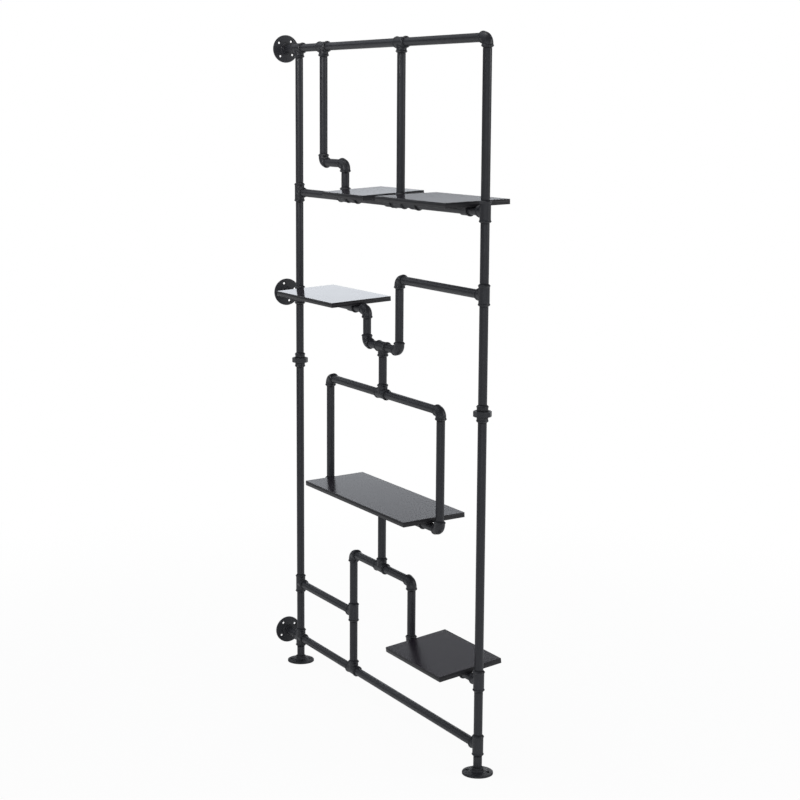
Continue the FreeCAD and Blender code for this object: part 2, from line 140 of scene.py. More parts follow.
def makeEdgeRub():
    # handling rubs the coat where the rounded normal leaves the true one
    tree, entry, leave = newGroup(
        "edgeRub", "ShaderNodeTree",
        [("Vector", "Vector", None), ("Radius", "Float", 0.0012), ("Amount", "Float", 0.5),
         ("Patch Scale", "Float", 60.0)],
        [("Mask", "Float")])
    rounded = addNode(tree, "ShaderNodeBevel", {"Radius": entry.outputs["Radius"]}, samples=4)
    surface = addNode(tree, "ShaderNodeNewGeometry")
    together = calculateVector(tree, "DOT_PRODUCT", rounded.outputs[0], surface.outputs["Normal"], "Value")
    edge = remap(tree, together, 0.985, 0.80)
    patches = addNode(tree, "ShaderNodeTexNoise", {"Vector": entry.outputs["Vector"],
                                                   "Scale": entry.outputs["Patch Scale"], "Detail": 4.0})
    broken = remap(tree, patches.outputs[0], 0.38, 0.66)
    mask = calculate(tree, "MULTIPLY", calculate(tree, "MULTIPLY", edge, broken), entry.outputs["Amount"],
                     clamp=True)
    tree.links.new(mask, leave.inputs["Mask"])
    return tree


def makeSettledDust():
    # a thin film on whatever faces up
    tree, entry, leave = newGroup(
        "settledDust", "ShaderNodeTree",
        [("Vector", "Vector", None), ("Amount", "Float", 0.1), ("Patch Scale", "Float", 30.0)],
        [("Mask", "Float")])
    surface = addNode(tree, "ShaderNodeNewGeometry")
    split = addNode(tree, "ShaderNodeSeparateXYZ", {0: surface.outputs["Normal"]})
    upward = remap(tree, split.outputs["Z"], 0.25, 1.0, smooth=True)
    patches = addNode(tree, "ShaderNodeTexNoise", {"Vector": entry.outputs["Vector"],
                                                   "Scale": entry.outputs["Patch Scale"], "Detail": 5.0,
                                                   "Roughness": 0.65})
    film = remap(tree, patches.outputs[0], 0.35, 0.75, 0.4, 1.0)
    mask = calculate(tree, "MULTIPLY", calculate(tree, "MULTIPLY", upward, film), entry.outputs["Amount"],
                     clamp=True)
    tree.links.new(mask, leave.inputs["Mask"])
    return tree


def makePaintedCreviceShade():
    # painted shade: an ambient-occlusion mask that turns the colour towards black where a pipe enters a
    # socket and under every rim
    tree, entry, leave = newGroup(
        "creviceShade", "ShaderNodeTree",
        [("Reach", "Float", 0.006), ("Amount", "Float", 0.8)],
        [("Mask", "Float")])
    around = addNode(tree, "ShaderNodeAmbientOcclusion", {"Distance": entry.outputs["Reach"]}, samples=6)
    closed = remap(tree, around.outputs["AO"], 0.92, 0.50, smooth=True)
    mask = calculate(tree, "MULTIPLY", closed, entry.outputs["Amount"], clamp=True)
    tree.links.new(mask, leave.inputs["Mask"])
    return tree


coatGrain = makeCoatGrain()
edgeRub = makeEdgeRub()
settledDust = makeSettledDust()
creviceShade = makePaintedCreviceShade()


# Powder-coated metal: one recipe, with its own values for pipe, castings, flanges, nuts and screws

# the crevice values set the painted shade in crevices and under rims: its reach, its strength and the
# roughness it adds
anyCoat = {
    "dusty": (0.080, 0.079, 0.078), "speckle": 0.25, "parting height": 1.6, "crevice reach": 6 * millimetre,
    "rub roughness": -0.10, "dust roughness": 1.2, "crevice roughness": 0.5,
}
pipeCoat = {
    **anyCoat, "colour": (0.0139, 0.0144, 0.0186), "rubbed": (0.036, 0.038, 0.043),
    "tone spread": 0.10, "roughness": 0.42, "roughness spread": 0.06, "specular": 0.50,
    "peel scale": 380.0, "grit scale": 1700.0, "grit": 0.18, "relief": 0.010 * millimetre,
    "rub radius": 0.8 * millimetre, "rub": 0.15, "dust": 0.03, "parting line": 0.0,
    "crevice": 0.6,
}
castCoat = {
    **anyCoat, "colour": (0.0130, 0.0135, 0.0174), "rubbed": (0.038, 0.040, 0.045),
    "tone spread": 0.16, "roughness": 0.42, "roughness spread": 0.10, "specular": 0.55,
    "peel scale": 260.0, "grit scale": 1100.0, "grit": 0.60, "relief": 0.045 * millimetre,
    "rub radius": 1.0 * millimetre, "rub": 0.25, "dust": 0.05, "parting line": 0.9 * millimetre,
    "crevice": 0.85,
}
flangeCoat = dict(castCoat, **{"roughness": 0.46, "peel scale": 230.0, "parting line": 0.0})
nutCoat = dict(castCoat, **{"roughness": 0.38, "grit": 0.35, "rub": 0.35, "parting line": 0.0})
saddleCoat = dict(castCoat, **{"roughness": 0.44, "rub": 0.25, "parting line": 0.0})
screwCoat = dict(castCoat, **{"colour": (0.020, 0.020, 0.022), "roughness": 0.36, "peel scale": 900.0,
                              "relief": 0.02 * millimetre, "rub": 0.6, "rub radius": 0.4 * millimetre,
                              "parting line": 0.0})


def newMaterial(name):
    material = bpy.data.materials.new(name)
    material.use_nodes = True
    tree = material.node_tree
    tree.nodes.clear()
    shader = addNode(tree, "ShaderNodeBsdfPrincipled")
    addNode(tree, "ShaderNodeOutputMaterial", {"Surface": shader.outputs[0]})
    return material, tree, shader


def shades(settings):
    spread = settings["tone spread"]
    return [opaque([(1 + share) * c for c in settings["colour"]]) for share in (-spread, spread)]


def coatedMetal(name, coat):
    material, tree, shader = newMaterial(name)
    place = addNode(tree, "ShaderNodeTexCoord").outputs["Object"]
    grain = placeGroup(tree, coatGrain, {"Vector": place, "Peel Scale": coat["peel scale"],
                                         "Grit Scale": coat["grit scale"], "Grit": coat["grit"]})
    rub = placeGroup(tree, edgeRub, {"Vector": place, "Radius": coat["rub radius"], "Amount": coat["rub"]})
    dust = placeGroup(tree, settledDust, {"Vector": place, "Amount": coat["dust"]})
    colour = mixColour(tree, remap(tree, grain.outputs["Blotch"], 0.3, 0.7), *shades(coat))
    speckle = calculate(tree, "MULTIPLY", grain.outputs["Speckle"], coat["speckle"])
    colour = mixColour(tree, speckle, colour, opaque(coat["rubbed"]))
    colour = mixColour(tree, rub.outputs["Mask"], colour, opaque(coat["rubbed"]))
    colour = mixColour(tree, dust.outputs["Mask"], colour, opaque(coat["dusty"]))
    # painted shade: in crevices and under rims the colour is mixed towards black and the roughness rises
    crevice = placeGroup(tree, creviceShade, {"Reach": coat["crevice reach"], "Amount": coat["crevice"]})
    colour = mixColour(tree, crevice.outputs["Mask"], colour, (0, 0, 0, 1))
    spread = coat["roughness spread"]
    roughness = remap(tree, grain.outputs["Blotch"], 0.3, 0.7, coat["roughness"] + spread / 2,
                      coat["roughness"] - spread / 2)
    for change, effect in (("rub roughness", rub), ("dust roughness", dust),
                           ("crevice roughness", crevice)):
        roughness = calculate(tree, "MULTIPLY_ADD", effect.outputs["Mask"], coat[change], roughness,
                              clamp=True)
    height = grain.outputs["Height"]
    if coat["parting line"]:  # the mould's two halves meet in the plane of the frame
        split = addNode(tree, "ShaderNodeSeparateXYZ", {0: place})
        off = calculate(tree, "ABSOLUTE", split.outputs["Y"])
        line = remap(tree, off, coat["parting line"], 0.3 * coat["parting line"], smooth=True)
        height = calculate(tree, "MULTIPLY_ADD", line, coat["parting height"], height)
    bump = addNode(tree, "ShaderNodeBump", {"Height": height, "Distance": coat["relief"], "Strength": 1.0})
    tree.links.new(colour, shader.inputs["Base Color"])
    tree.links.new(roughness, shader.inputs["Roughness"])
    tree.links.new(bump.outputs[0], shader.inputs["Normal"])
    shader.inputs["Specular IOR Level"].default_value = coat["specular"]
    return material


pipeMaterial = coatedMetal("coatedPipe", pipeCoat)
castMaterial = coatedMetal("coatedCasting", castCoat)
flangeMaterial = coatedMetal("coatedFlange", flangeCoat)
nutMaterial = coatedMetal("coatedNut", nutCoat)
saddleMaterial = coatedMetal("coatedSaddle", saddleCoat)
screwMaterial = coatedMetal("blackScrew", screwCoat)


# Copies of CAD nodes, merged and split into their separate solids

def solidsOf(nodeName):
    mesh = bmesh.new()
    mesh.from_mesh(nodes[nodeName].data)
    bmesh.ops.remove_doubles(mesh, verts=mesh.verts, dist=1e-6)
    mesh.verts.ensure_lookup_table()
    seen = set()
    solids = []
    for start in mesh.verts:
        if start.index in seen:
            continue
        seen.add(start.index)
        island = [start]
        for vert in island:
            for edge in vert.link_edges:
                other = edge.other_vert(vert)
                if other.index not in seen:
                    seen.add(other.index)
                    island.append(other)
        solids.append(np.array([vert.co[:] for vert in island]))
    mesh.free()
    return solids


def meshObject(name, vertices, edges=(), faces=()):
    mesh = bpy.data.meshes.new(name)
    mesh.from_pydata([tuple(v) for v in vertices], list(edges), list(faces))
    piece = bpy.data.objects.new(name, mesh)
    bpy.context.scene.collection.objects.link(piece)
    return piece


def bakeNodes(piece, tree, values):
    modifier = piece.modifiers.new(tree.name, "NODES")
    modifier.node_group = tree
    sockets = {s.name: s.identifier for s in tree.interface.items_tree if s.in_out == "INPUT"}
    for name, value in values.items():
        modifier[sockets[name]] = value
    piece.update_tag()
    depsgraph = bpy.context.evaluated_depsgraph_get()
    mesh = bpy.data.meshes.new_from_object(piece.evaluated_get(depsgraph), depsgraph=depsgraph)
    piece.modifiers.remove(modifier)
    mesh.materials.clear()
    mesh.materials.append(values["Material"])
    mesh.name = piece.name
    piece.data = mesh
    return piece


def pieceName(nodeName):
    words = nodeName.split("_")
    return words[0] + "".join(word.capitalize() for word in words[1:])


def dress(piece, slot, *nodeNames):
    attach(piece, "root")
    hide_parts(*nodeNames)
    return piece


# Lengths of pipe: one tube along each axis line, bored, with taper-thread turns beside every mouth

pipe = {
    "sides": 56, "wall": 2.6 * millimetre, "end bevel": 0.8 * millimetre,
    "thread start": 10.6 * millimetre, "thread end": 16.8 * millimetre,
    "thread pitch": 1.81 * millimetre, "thread depth": 0.62 * millimetre, "rings": 28,
}


def makePipeTree():
    tree, entry, leave = newGroup(
        "threadedPipe", "GeometryNodeTree",
        [("Geometry", "Geometry", None), ("Radius", "Float", 0.01345), ("Wall", "Float", 0.0026),
         ("Sides", "Int", 48), ("Rings", "Int", 20), ("End Bevel", "Float", 0.001),
         ("Thread Start", "Float", 0.01), ("Thread End", "Float", 0.016), ("Thread Pitch", "Float", 0.0018),
         ("Thread Depth", "Float", 0.0006), ("Material", "Material", None)],
        [("Geometry", "Geometry")])
    given = entry.outputs
    lines = addNode(tree, "GeometryNodeMeshToCurve", {0: given["Geometry"]}).outputs[0]
    count = calculate(tree, "MULTIPLY_ADD", given["Rings"], 2.0, 4.0)
    rings = addNode(tree, "GeometryNodeResampleCurve", {"Curve": lines, "Count": count})
    # rings stand close together in the two threads and far apart between them
    point = addNode(tree, "GeometryNodeCurveOfPoint")
    total = addNode(tree, "GeometryNodeSplineLength").outputs["Length"]
    last = calculate(tree, "SUBTRACT", count, 1.0)
    fromEnd = calculate(tree, "SUBTRACT", last, point.outputs["Index in Curve"])
    side = calculate(tree, "MINIMUM", point.outputs["Index in Curve"], fromEnd)
    half = calculate(tree, "MULTIPLY", total, 0.5)
    room = calculate(tree, "SUBTRACT", calculate(tree, "MULTIPLY", half, 0.98), given["Thread Start"])
    threads = calculate(tree, "SUBTRACT", given["Thread End"], given["Thread Start"])
    zone = calculate(tree, "MINIMUM", threads, room)
    step = calculate(tree, "DIVIDE", zone, calculate(tree, "SUBTRACT", given["Rings"], 1.0))
    turnsIn = calculate(tree, "SUBTRACT", side, 2.0)
    reach = calculate(tree, "MULTIPLY_ADD", turnsIn, step, given["Thread Start"])
    bevelled = calculate(tree, "MULTIPLY", side, given["End Bevel"])
    isEnd = calculate(tree, "LESS_THAN", side, 1.5)
    fromMouth = addNode(tree, "ShaderNodeMix", {0: isEnd, 2: reach, 3: bevelled}).outputs[0]
    secondHalf = calculate(tree, "LESS_THAN", fromEnd, point.outputs["Index in Curve"])
    mirrored = calculate(tree, "SUBTRACT", total, fromMouth)
    along = addNode(tree, "ShaderNodeMix", {0: secondHalf, 2: fromMouth, 3: mirrored}).outputs[0]
    sample = addNode(tree, "GeometryNodeSampleCurve", {"Curves": lines, "Length": along,
                                                       "Curve Index": point.outputs["Curve Index"]},
                     mode="LENGTH")
    kept = rings.outputs[0]
    for label, kind, value in (("along", "FLOAT", along), ("fromEnd", "FLOAT", fromMouth),
                               ("side", "FLOAT", side),
                               ("axisPoint", "FLOAT_VECTOR", sample.outputs["Position"])):
        store = addNode(tree, "GeometryNodeStoreNamedAttribute", data_type=kind, domain="POINT")
        store.inputs["Name"].default_value = label
        tree.links.new(kept, store.inputs["Geometry"])
        tree.links.new(value, store.inputs["Value"])
        kept = store.outputs[0]
    axisPoint = namedValue(tree, "axisPoint", "FLOAT_VECTOR")
    moved = addNode(tree, "GeometryNodeSetPosition", {"Geometry": kept, "Position": axisPoint})
    # outer skin
    circle = addNode(tree, "GeometryNodeCurvePrimitiveCircle", {"Resolution": given["Sides"],
                                                                "Radius": given["Radius"]})
    turn = addNode(tree, "GeometryNodeStoreNamedAttribute", {"Name": "turn"}, data_type="FLOAT",
                   domain="POINT")
    tree.links.new(circle.outputs[0], turn.inputs["Geometry"])
    factor = addNode(tree, "GeometryNodeSplineParameter").outputs["Factor"]
    tree.links.new(factor, turn.inputs["Value"])
    skin = addNode(tree, "GeometryNodeCurveToMesh", {"Curve": moved.outputs[0],
                                                     "Profile Curve": turn.outputs[0]})
    bore = calculate(tree, "SUBTRACT", given["Radius"], given["Wall"])
    pitches = calculate(tree, "DIVIDE", namedValue(tree, "along"), given["Thread Pitch"])
    phase = calculate(tree, "SUBTRACT", pitches, namedValue(tree, "turn"))
    wave = calculate(tree, "COSINE", calculate(tree, "MULTIPLY", phase, 2 * math.pi))
    groove = calculate(tree, "MULTIPLY_ADD", wave, -0.5, 0.5)
    runOut = calculate(tree, "MULTIPLY_ADD", given["Thread Pitch"], -1.6, given["Thread End"])
    fade = remap(tree, namedValue(tree, "fromEnd"), runOut, given["Thread End"], 1.0, 0.0)
    begun = calculate(tree, "GREATER_THAN", namedValue(tree, "side"), 1.5)
    cut = calculate(tree, "MULTIPLY", calculate(tree, "MULTIPLY", groove, fade), begun)
    cut = calculate(tree, "MULTIPLY", cut, given["Thread Depth"])
    threaded = calculate(tree, "SUBTRACT", given["Radius"], cut)
    atMouth = calculate(tree, "LESS_THAN", namedValue(tree, "side"), 0.5)
    radius = addNode(tree, "ShaderNodeMix", {0: atMouth, 2: threaded, 3: bore}).outputs[0]
    place = addNode(tree, "GeometryNodeInputPosition").outputs[0]
    outward = calculateVector(tree, "NORMALIZE", calculateVector(tree, "SUBTRACT", place, axisPoint))
    arm = addNode(tree, "ShaderNodeVectorMath", {0: outward, "Scale": radius}, operation="SCALE").outputs[0]
    shaped = addNode(tree, "GeometryNodeSetPosition", {
        "Geometry": skin.outputs[0], "Position": calculateVector(tree, "ADD", axisPoint, arm)})
    # bore, turned inside out and sewn to the skin at both ends
    boreCircle = addNode(tree, "GeometryNodeCurvePrimitiveCircle", {"Resolution": given["Sides"],
                                                                    "Radius": bore})
    inside = addNode(tree, "GeometryNodeCurveToMesh", {"Curve": lines,
                                                       "Profile Curve": boreCircle.outputs[0]})
    flipped = addNode(tree, "GeometryNodeFlipFaces", {0: inside.outputs[0]})
    both = addNode(tree, "GeometryNodeJoinGeometry")
    tree.links.new(flipped.outputs[0], both.inputs[0])
    tree.links.new(shaped.outputs[0], both.inputs[0])
    sewn = addNode(tree, "GeometryNodeMergeByDistance", {"Geometry": both.outputs[0], "Distance": 1e-5})
    result = sewn.outputs[0]
    for label in ("along", "fromEnd", "side", "axisPoint", "turn"):
        cleared = addNode(tree, "GeometryNodeRemoveAttribute", {"Geometry": result, "Name": label})
        result = cleared.outputs[0]
    smooth = addNode(tree, "GeometryNodeSetShadeSmooth", {"Geometry": result})
    real = addNode(tree, "GeometryNodeRealizeInstances", {"Geometry": smooth.outputs[0]})
    finish = addNode(tree, "GeometryNodeSetMaterial", {"Geometry": real.outputs[0],
                                                       "Material": given["Material"]})
    tree.links.new(finish.outputs[0], leave.inputs[0])
    return tree


def pipeLines(nodeName):
    starts, ends, radii = [], [], []
    for points in solidsOf(nodeName):
        low, high = points.min(0), points.max(0)
        middle = (low + high) / 2
        axis = int(np.argmax(high - low))
        start, end = middle.copy(), middle.copy()
        start[axis], end[axis] = low[axis], high[axis]
        starts.append(start)
        ends.append(end)
        radii.append(np.sort(high - low)[0] / 2)
    return starts, ends, float(np.median(radii))


def makePipes():
    tree = makePipeTree()
    for nodeName in sorted(nodes):
        if not nodeName.endswith("_pipes") and nodeName != "wall_nipples":
            continue
        starts, ends, radius = pipeLines(nodeName)
        count = len(starts)
        name = pieceName(nodeName)
        piece = meshObject(name, starts + ends, [(i, i + count) for i in range(count)])
        bakeNodes(piece, tree, {
            "Radius": radius, "Wall": pipe["wall"], "Sides": pipe["sides"], "Rings": pipe["rings"],
            "End Bevel": pipe["end bevel"], "Thread Start": pipe["thread start"],
            "Thread End": pipe["thread end"], "Thread Pitch": pipe["thread pitch"],
            "Thread Depth": pipe["thread depth"], "Material": pipeMaterial})
        dress(piece, "coated_pipe", nodeName)
        print("pipes:", name, count, "lengths", len(piece.data.polygons), "faces")


makePipes()


# Boards: laminated faces, an edge band all round with its glue line, eased edges

board = {
    "ease": 1.2 * millimetre, "ease steps": 4, "corner": 1.6 * millimetre, "corner steps": 4,
    "band line": 2.1 * millimetre, "line width": 0.35 * millimetre, "line depth": 0.18 * millimetre,
    "colour": (0.0118, 0.0082, 0.0136), "band colour": (0.0085, 0.0078, 0.0098),
    "dust colour": (0.20, 0.20, 0.21), "dust": 0.006, "tone spread": 0.06,
    "roughness": 0.15, "roughness from above": 0.25, "roughness spread": 0.006, "band roughness": 0.20,
    "grain relief": 0.0018 * millimetre, "fibre share": 0.45,
    "fibre size": 0.9 * millimetre, "peel size": 3.5 * millimetre,
    "haze size": 90 * millimetre, "smear size": 25 * millimetre,
    "fibre stretch": (0.05, 1.0, 1.0), "smear stretch": (1.0, 0.25, 1.0), "from above": 0.70, "along": 0.88,
}


def boardAxes(nodeName):
    points = np.concatenate(solidsOf(nodeName))
    data = nodes[nodeName].data
    normals = np.array([p.normal[:] for p in data.polygons])
    areas = np.array([p.area for p in data.polygons])
    facing = normals[:, 2] > 0.9
    up = (normals[facing] * areas[facing, None]).sum(0)
    up = up / np.linalg.norm(up)
    along = np.array((1.0, 0.0, 0.0))
    across = np.cross(up, along)
    turned = np.stack((along, across, up))
    spans = points @ turned.T
    middle = turned.T @ ((spans.min(0) + spans.max(0)) / 2)
    return middle, turned, spans.max(0) - spans.min(0)


def boardLoops(size):
    half = size / 2
    ease = board["ease"]
    levels = []
    for step in range(board["ease steps"] + 1):
        angle = math.pi / 2 * step / board["ease steps"]
        levels.append((ease * (1 - math.sin(angle)), half[2] - ease * (1 - math.cos(angle))))
    line = half[2] - board["band line"]
    width = board["line width"]
    levels += [(0.0, line + width / 2), (board["line depth"], line + width / 4),
               (board["line depth"], line - width / 4), (0.0, line - width / 2)]
    levels += [(inset, -height) for inset, height in reversed(levels)]
    loops = []
    for inset, height in levels:
        corner = max(board["corner"] - inset, 0.25 * board["corner"])
        loop = []
        for quarter in range(4):
            sideX = 1 if quarter in (0, 3) else -1
            sideY = 1 if quarter in (0, 1) else -1
            for step in range(board["corner steps"] + 1):
                angle = math.pi / 2 * (quarter + step / board["corner steps"])
                loop.append((sideX * (half[0] - inset - corner) + corner * math.cos(angle),
                             sideY * (half[1] - inset - corner) + corner * math.sin(angle), height))
        loops.append(loop)
    return loops


def boardMaterial(name, middle, tilt):
    material, tree, shader = newMaterial(name)
    place = addNode(tree, "ShaderNodeTexCoord").outputs["Object"]
    own = addNode(tree, "ShaderNodeMapping", {"Vector": place, "Location": tuple(middle),
                                              "Rotation": (tilt, 0.0, 0.0)}, vector_type="TEXTURE")
    local = own.outputs[0]
    fibre = noise(tree, scaleVector(tree, local, board["fibre stretch"]), board["fibre size"], 3.0, 0.6)
    peel = noise(tree, local, board["peel size"], 2.0, 0.45)
    haze = noise(tree, local, board["haze size"], 5.0, 0.62)
    dragged = scaleVector(tree, local, board["smear stretch"])
    smear = noise(tree, dragged, board["smear size"], 4.0, 0.6, 0.8)
    dust = placeGroup(tree, settledDust, {"Vector": local, "Amount": board["dust"], "Patch Scale": 22.0})
    height = calculate(tree, "MULTIPLY_ADD", fibre, board["fibre share"], peel)
    bump = addNode(tree, "ShaderNodeBump", {"Height": height, "Distance": board["grain relief"],
                                            "Strength": 1.0})
    tone = remap(tree, calculate(tree, "MULTIPLY_ADD", fibre, 0.5, haze), 0.55, 1.0)
    colour = mixColour(tree, tone, *shades(board))
    surface = addNode(tree, "ShaderNodeNewGeometry")
    tilted = addNode(tree, "ShaderNodeSeparateXYZ", {0: surface.outputs["Normal"]})
    band = remap(tree, calculate(tree, "ABSOLUTE", tilted.outputs["Z"]), 0.95, 0.55)
    colour = mixColour(tree, band, colour, opaque(board["band colour"]))
    colour = mixColour(tree, dust.outputs["Mask"], colour, opaque(board["dust colour"]))
    # the fine texture blurs reflections seen from above, and far less those seen along the face
    facing = addNode(tree, "ShaderNodeLayerWeight", {"Blend": 0.5}).outputs["Facing"]
    roughness = remap(tree, facing, board["from above"], board["along"], board["roughness from above"],
                      board["roughness"])
    smeared = calculate(tree, "MULTIPLY_ADD", smear, 0.6, haze)
    spread = board["roughness spread"]
    roughness = calculate(tree, "ADD", roughness, remap(tree, smeared, 0.6, 1.0, -spread / 2, spread / 2))
    roughness = calculate(tree, "MULTIPLY_ADD", band, board["band roughness"], roughness)
    tree.links.new(colour, shader.inputs["Base Color"])
    tree.links.new(roughness, shader.inputs["Roughness"])
    tree.links.new(bump.outputs[0], shader.inputs["Normal"])
    return material


def makeBoard(nodeName):
    middle, turned, size = boardAxes(nodeName)
    loops = boardLoops(size)
    around = len(loops[0])
    vertices = [middle + turned.T @ np.array(point) for loop in loops for point in loop]
    faces = [tuple(range(around))]
    for level in range(len(loops) - 1):
        for i in range(around):
            j = (i + 1) % around
            faces.append((level * around + j, level * around + i, (level + 1) * around + i,
                          (level + 1) * around + j))
    bottom = (len(loops) - 1) * around
    faces.append(tuple(bottom + around - 1 - i for i in range(around)))
    name = pieceName(nodeName)
    piece = meshObject(name, vertices, faces=faces)
    tilt = math.atan2(turned[1][2], turned[1][1])
    piece.data.materials.append(boardMaterial(name + "Laminate", middle, tilt))
    piece.data.polygons.foreach_set("use_smooth", [False] + [True] * (len(faces) - 2) + [False])
    dress(piece, "board_laminate", nodeName)
    print("board:", name, "tilt", round(math.degrees(tilt), 2))


for nodeName in sorted(nodes):
    if nodeName.endswith("_board"):
        makeBoard(nodeName)


# Saddle screws: one cross-head screw, repeated by Geometry Nodes under every ear

screw = {
    "head radius": 4.3 * millimetre, "head height": 2.8 * millimetre, "crown": 1.2 * millimetre,
    "shank radius": 2.1 * millimetre, "sides": 28, "recess radius": 2.5 * millimetre,
    "recess depth": 1.5 * millimetre, "recess width": 0.85 * millimetre, "point": 4 * millimetre,
}


def screwTemplate(length):
    mesh = bmesh.new()
    head, crown = screw["head radius"], screw["crown"]
    profile = [(0.0, 0.0)]
    for step in range(5):
        angle = math.pi / 2 * step / 4
        profile.append((head - crown * 1.1 * (1 - math.sin(angle)), crown * (1 - math.cos(angle))))
    profile += [(head, screw["head height"]), (screw["shank radius"], screw["head height"]),
                (screw["shank radius"], length - screw["point"]), (0.0, length)]
    sides = screw["sides"]
    rings = []
    for radius, height in profile:
        if radius == 0.0:
            rings.append([mesh.verts.new((0, 0, height))])
        else:
            rings.append([mesh.verts.new((radius * math.cos(2 * math.pi * i / sides),
                                          radius * math.sin(2 * math.pi * i / sides), height))
                          for i in range(sides)])
    for lower, upper in zip(rings, rings[1:]):
        for i in range(sides):
            j = (i + 1) % sides
            corners = [lower[i % len(lower)], lower[j % len(lower)],
                       upper[j % len(upper)], upper[i % len(upper)]]
            mesh.faces.new(list(dict.fromkeys(corners)))
    bmesh.ops.recalc_face_normals(mesh, faces=mesh.faces)
    data = bpy.data.meshes.new("screwTemplate")
    mesh.to_mesh(data)
    mesh.free()
    return data


def makeScrewTree():
    tree, entry, leave = newGroup(
        "crossHeadScrews", "GeometryNodeTree",
        [("Geometry", "Geometry", None), ("Screw", "Object", None), ("Recess Radius", "Float", 0.0025),
         ("Recess Width", "Float", 0.0008), ("Recess Depth", "Float", 0.0015), ("Seed", "Int", 7),
         ("Material", "Material", None)],
        [("Geometry", "Geometry")])
    given = entry.outputs
    single = addNode(tree, "GeometryNodeObjectInfo", {"Object": given["Screw"]}).outputs["Geometry"]
    arms = []
    for turned in (False, True):
        span = calculate(tree, "MULTIPLY", given["Recess Radius"], 2.0)
        depth = calculate(tree, "MULTIPLY", given["Recess Depth"], 2.0)
        sizes = (given["Recess Width"], span) if turned else (span, given["Recess Width"])
        size = addNode(tree, "ShaderNodeCombineXYZ", {0: sizes[0], 1: sizes[1], 2: depth})
        arms.append(addNode(tree, "GeometryNodeMeshCube", {"Size": size.outputs[0]}).outputs[0])
    recessed = addNode(tree, "GeometryNodeMeshBoolean", {"Mesh 1": single}, operation="DIFFERENCE",
                       solver="MANIFOLD")
    for arm in arms:
        tree.links.new(arm, recessed.inputs[1])
    aim = addNode(tree, "FunctionNodeAlignRotationToVector", {
        "Vector": namedValue(tree, "axis", "FLOAT_VECTOR")}, axis="Z")
    spin = addNode(tree, "FunctionNodeRandomValue", {"Seed": given["Seed"]}, data_type="FLOAT")
    spin.inputs[3].default_value = math.pi
    spun = addNode(tree, "FunctionNodeAxisAngleToRotation", {"Axis": (0, 0, 1), "Angle": spin.outputs[1]})
    rotation = addNode(tree, "FunctionNodeRotateRotation", {0: aim.outputs[0], 1: spun.outputs[0]},
                       rotation_space="LOCAL")
    placed = addNode(tree, "GeometryNodeInstanceOnPoints", {
        "Points": given["Geometry"], "Instance": recessed.outputs[0], "Rotation": rotation.outputs[0]})
    real = addNode(tree, "GeometryNodeRealizeInstances", {"Geometry": placed.outputs[0]})
    finish = addNode(tree, "GeometryNodeSetMaterial", {"Geometry": real.outputs[0],
                                                       "Material": given["Material"]})
    tree.links.new(finish.outputs[0], leave.inputs[0])
    return tree


def makeScrews():
    feet, axes, lengths = [], [], []
    for points in solidsOf("saddle_screws"):
        middle = points.mean(0)
        axis = np.linalg.svd(points - middle)[2][0]
        axis = axis * np.sign(axis[2])
        spans = (points - middle) @ axis
        feet.append(middle + axis * spans.min())
        axes.append(axis)
        lengths.append(spans.max() - spans.min())
    template = bpy.data.objects.new("screwTemplate", screwTemplate(float(np.median(lengths))))
    piece = meshObject("saddleScrews", feet)
    attribute = piece.data.attributes.new("axis", "FLOAT_VECTOR", "POINT")
    attribute.data.foreach_set("vector", np.array(axes, np.float32).ravel())
    bakeNodes(piece, makeScrewTree(), {
        "Screw": template, "Recess Radius": screw["recess radius"], "Recess Width": screw["recess width"],
        "Recess Depth": screw["recess depth"], "Seed": 7, "Material": screwMaterial})
    bpy.data.objects.remove(template)
    dress(piece, "black_screw", "saddle_screws")
    print("screws:", len(feet), "of", len(piece.data.polygons), "faces")


makeScrews()


# Castings keep their CAD shapes and get their finish

def finishCastings():
    for nodeName, piece in nodes.items():
        if piece.hide_render:
            continue
        material = castMaterial
        if "flange" in nodeName:
            material = flangeMaterial
        elif nodeName.endswith("_nut"):
            material = nutMaterial
        elif nodeName == "board_saddles":
            material = saddleMaterial
        for place in piece.material_slots:
            place.material = material


finishCastings()
print("castings finished")


# Studio: pale floor, white surroundings, soft panels all round and a few broad lamps

studio = {
    "floor size": 120.0, "floor colour": (0.88, 0.88, 0.88), "floor glow": 0.07,
    "shadow share": 0.055, "shadow fade": (1.2, 3.2),
    "panel colour": (0.90, 0.94, 1.0), "panel edge": 0.012, "panel side": 0.06,
    "mirrored white": 0.06,
}
panels = {
    "frontLow": {"azimuth": -28, "half width": 30, "elevation": (0, 12), "level": 1.81},
    "frontMid": {"azimuth": -28, "half width": 30, "elevation": (12, 38), "level": 0.18},
    "frontHigh": {"azimuth": -28, "half width": 50, "elevation": (38, 70), "level": 0.15},
    "rightLow": {"azimuth": 32, "half width": 30, "elevation": (0, 12), "level": 0.64},
    "backBand": {"azimuth": 152, "half width": 32, "elevation": (7.2, 12.4), "level": 2.32},
    "backRise": {"azimuth": 152, "half width": 32, "elevation": (12.4, 18), "level": 0.4},
    "backMid": {"azimuth": 152, "half width": 32, "elevation": (18, 32), "level": 0.378},
    "leftLow": {"azimuth": -90, "half width": 34, "elevation": (2, 30), "level": 0.2},
    "rightMid": {"azimuth": 62, "half width": 60, "elevation": (12, 45), "level": 0.15},
    "leftMid": {"azimuth": -148, "half width": 30, "elevation": (12, 38), "level": 0.53},
    "leftHigh": {"azimuth": -128, "half width": 50, "elevation": (38, 70), "level": 0.83},
}
